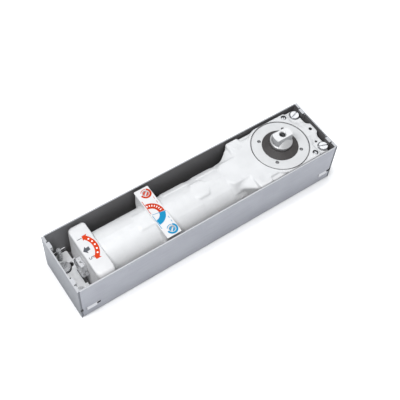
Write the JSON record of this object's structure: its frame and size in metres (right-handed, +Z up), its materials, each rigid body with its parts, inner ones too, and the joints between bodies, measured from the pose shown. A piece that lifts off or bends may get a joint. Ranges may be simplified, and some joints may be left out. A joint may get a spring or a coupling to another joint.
{
  "type": "floor spring",
  "caption": "Double-action hydraulic floor spring in a steel cement box, with a tapered drive spindle, regulating valves and an adjustable closing force.",
  "frame": {"origin": "on the spindle axis, at the underside of the cement box", "axes": "+X along the box from the spring end towards the spindle end, +Z up along the spindle axis, +Y across the box"},
  "size_m": [0.342, 0.0804, 0.078],
  "materials": {
    "box_steel": "satin grey, zinc-coated sheet",
    "end_plate_steel": "satin grey, zinc-coated sheet",
    "casting_white": "fine-grained pale grey-white lacquer on a casting",
    "cover_white": "pale grey-white lacquer on a turned face",
    "seal_rubber": "matt black moulded rubber",
    "ring_rubber": "black nitrile",
    "spindle_steel": "turned and milled, bright",
    "zinc_steel": "bright zinc plate",
    "floor_steel": "zinc plate",
    "bracket_steel": "light zinc-coated plate",
    "ground_steel": "hardened and ground",
    "piston_iron": "turned",
    "spring_steel": "oiled spring wire",
    "bearing_steel": "ground",
    "bush_bronze": "sintered bronze",
    "cap_white": "pale lacquer on a casting",
    "label_plastic": "white moulded plastic",
    "valve_steel": "bright zinc plate"
  },
  "bodies": {
    "closer_in_box": {"cement_box": "box_steel", "spring_end_plate": "end_plate_steel", "spindle_end_plate": "end_plate_steel", "clamp_posts": "floor_steel", "keyhole_bosses": "floor_steel", "closer_body": "casting_white", "bearing_cover": "cover_white", "cover_o_ring": "ring_rubber", "shaft_seal": "seal_rubber", "upper_needle_bearing": "bearing_steel", "lower_needle_bearing": "bearing_steel", "thrust_washer": "bush_bronze", "closing_spring": "spring_steel", "spring_end_cap": "cap_white", "cap_o_ring": "ring_rubber", "cap_lock_screw": "floor_steel", "mounting_bracket": "bracket_steel", "bracket_screws": "floor_steel", "keyhole_screws": "zinc_steel", "bracket_levelling_screws": "zinc_steel", "clamp_screws": "zinc_steel", "clamp_washers": "zinc_steel", "head_levelling_screws": "zinc_steel", "valve_label_plate": "label_plastic", "valve_o_rings": "ring_rubber"},
    "spindle_body": {"spindle": "spindle_steel", "cam_disc": "ground_steel", "cam_key": "zinc_steel"},
    "piston_body": {"piston": "piston_iron", "piston_ring": "piston_iron", "roller_pin": "bearing_steel", "check_valve_ball": "bearing_steel", "check_valve_retainer": "floor_steel"},
    "roller_body": {"cam_roller": "bearing_steel", "roller_bush": "bush_bronze"},
    "seat_body": {"spring_seat": "piston_iron"},
    "adjuster_body": {"adjusting_screw": "ground_steel", "adjuster_hex": "zinc_steel", "adjuster_pin": "floor_steel", "adjuster_o_ring": "ring_rubber"},
    "closing_valve_body": {"closing_speed_valve": "valve_steel"},
    "latching_valve_body": {"latching_valve": "valve_steel"}
  },
  "joints": [
    {"name": "spindle_swing", "type": "hinge", "parent": "closer_in_box", "child": "spindle_body", "pos_m": [0, 0, 0.03], "axis": [0, 0, 1], "range_deg": [0, 130], "stiffness_Nm_per_rad": 4},
    {"name": "piston_slide", "type": "slide", "parent": "closer_in_box", "child": "piston_body", "axis": [-1, 0, 0], "range_m": [0, 0.0101], "deforming": ["closing_spring"]},
    {"name": "roller_spin", "type": "hinge", "parent": "piston_body", "child": "roller_body", "pos_m": [-0.018, 0, 0.03], "axis": [0, 0, 1], "range_deg": [-380, 0]},
    {"name": "adjuster_turn", "type": "hinge", "parent": "closer_in_box", "child": "adjuster_body", "pos_m": [-0.264, 0, 0.03], "axis": [1, 0, 0], "range_deg": [0, 2881]},
    {"name": "seat_slide", "type": "slide", "parent": "closer_in_box", "child": "seat_body", "axis": [1, 0, 0], "range_m": [0, 0.012], "deforming": ["closing_spring"]},
    {"name": "closing_valve_turn", "type": "hinge", "parent": "closer_in_box", "child": "closing_valve_body", "pos_m": [-0.1665, 0.0264, 0.05], "axis": [0, 0, 1], "range_deg": [0, 720]},
    {"name": "latching_valve_turn", "type": "hinge", "parent": "closer_in_box", "child": "latching_valve_body", "pos_m": [-0.1665, -0.0264, 0.05], "axis": [0, 0, 1], "range_deg": [0, 720]}
  ],
  "couplings": [
    {"joint": "piston_slide", "follows": "spindle_swing", "m_per_rad": 0.0044074},
    {"joint": "roller_spin", "follows": "spindle_swing", "ratio": -2.9},
    {"joint": "adjuster_turn", "follows": "seat_slide", "rad_per_m": 4188.8}
  ]
}
